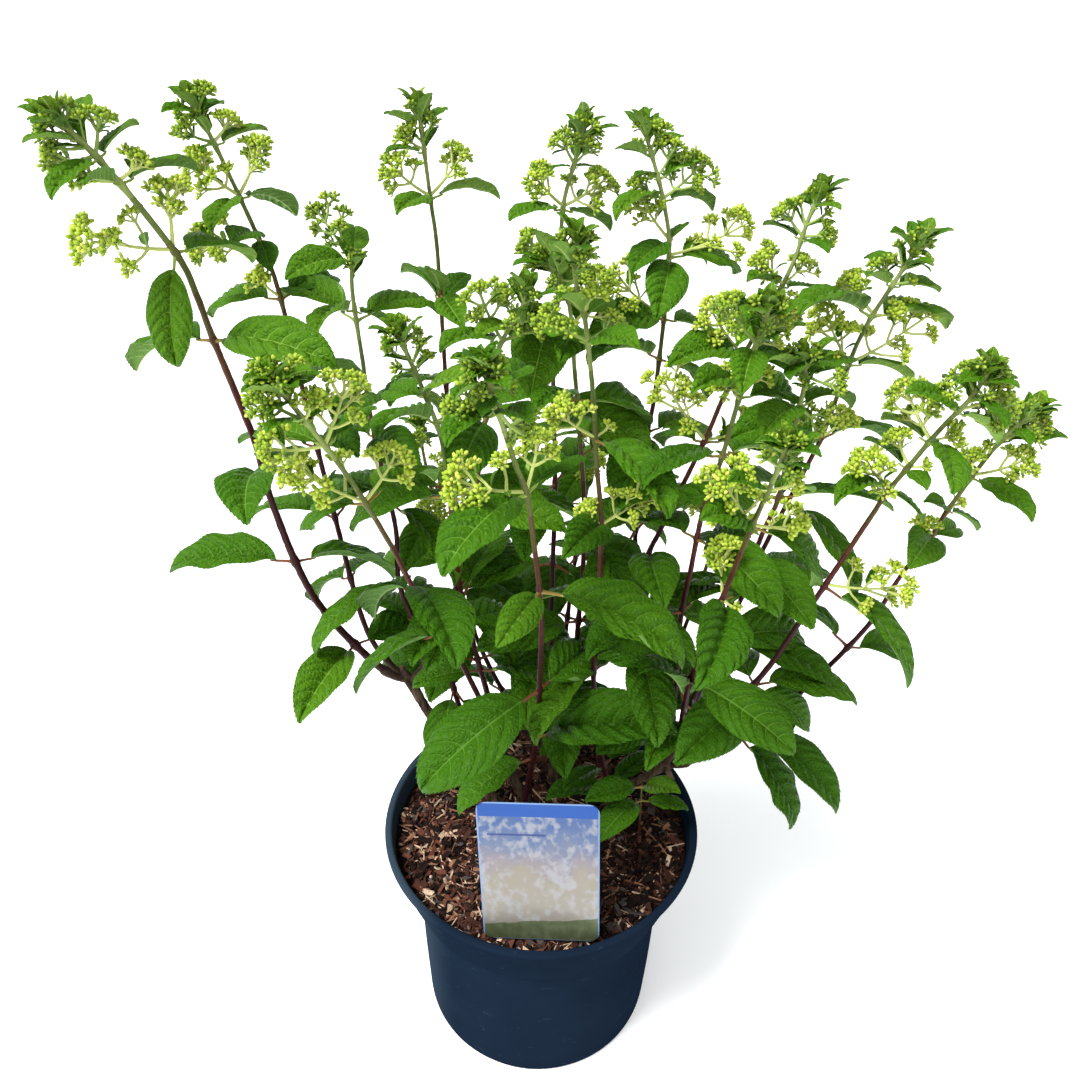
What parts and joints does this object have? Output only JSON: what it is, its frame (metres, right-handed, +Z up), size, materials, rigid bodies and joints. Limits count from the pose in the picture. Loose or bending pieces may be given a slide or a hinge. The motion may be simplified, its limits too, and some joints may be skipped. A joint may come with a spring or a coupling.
{
  "type": "potted flowering shrub",
  "caption": "Leafy shrub with opposite pointed leaves and clusters of green flower buds on upright canes, growing from old wood in a round plastic pot with a blank label on a stake.",
  "frame": {"origin": "middle of the pot's flat underside", "axes": "+Z up the plant, +X to the right and -Y towards the side that carries the label"},
  "size_m": [0.613, 0.3981, 0.7824],
  "materials": {
    "pot_plastic": "satin",
    "compost": "rough bark chips and peat",
    "card": "satin",
    "stake": "satin",
    "bark": "rough",
    "cane_skin": "smooth bark",
    "leafy": "matt leaf"
  },
  "bodies": {
    "root": {"pot": "pot_plastic", "compost": "compost", "label": "card", "label_stake": "stake", "old_wood_left": "bark", "old_wood_right": "bark", "old_wood_middle": "bark", "old_wood_back": "bark", "cane_01": "cane_skin", "cane_02": "cane_skin", "cane_03": "cane_skin", "cane_04": "cane_skin", "cane_05": "cane_skin", "cane_06": "cane_skin", "cane_07": "cane_skin", "cane_08": "cane_skin", "cane_09": "cane_skin", "cane_10": "cane_skin", "cane_11": "cane_skin", "cane_12": "cane_skin", "cane_13": "cane_skin", "cane_14": "cane_skin", "cane_15": "cane_skin", "cane_16": "cane_skin", "cane_17": "cane_skin", "cane_18": "cane_skin", "cane_19": "cane_skin", "cane_21": "cane_skin", "cane_22": "cane_skin", "cane_23": "cane_skin", "shoot_01": "leafy", "shoot_02": "leafy", "shoot_03": "leafy", "shoot_04": "leafy", "shoot_05": "leafy", "shoot_06": "leafy", "shoot_07": "leafy", "shoot_08": "leafy", "shoot_09": "leafy", "shoot_10": "leafy", "shoot_11": "leafy", "shoot_12": "leafy", "shoot_13": "leafy", "shoot_14": "leafy", "shoot_15": "leafy", "shoot_16": "leafy", "shoot_17": "leafy", "shoot_18": "leafy", "shoot_19": "leafy", "shoot_20": "leafy", "shoot_21": "leafy", "shoot_22": "leafy", "shoot_23": "leafy"}
  },
  "joints": []
}
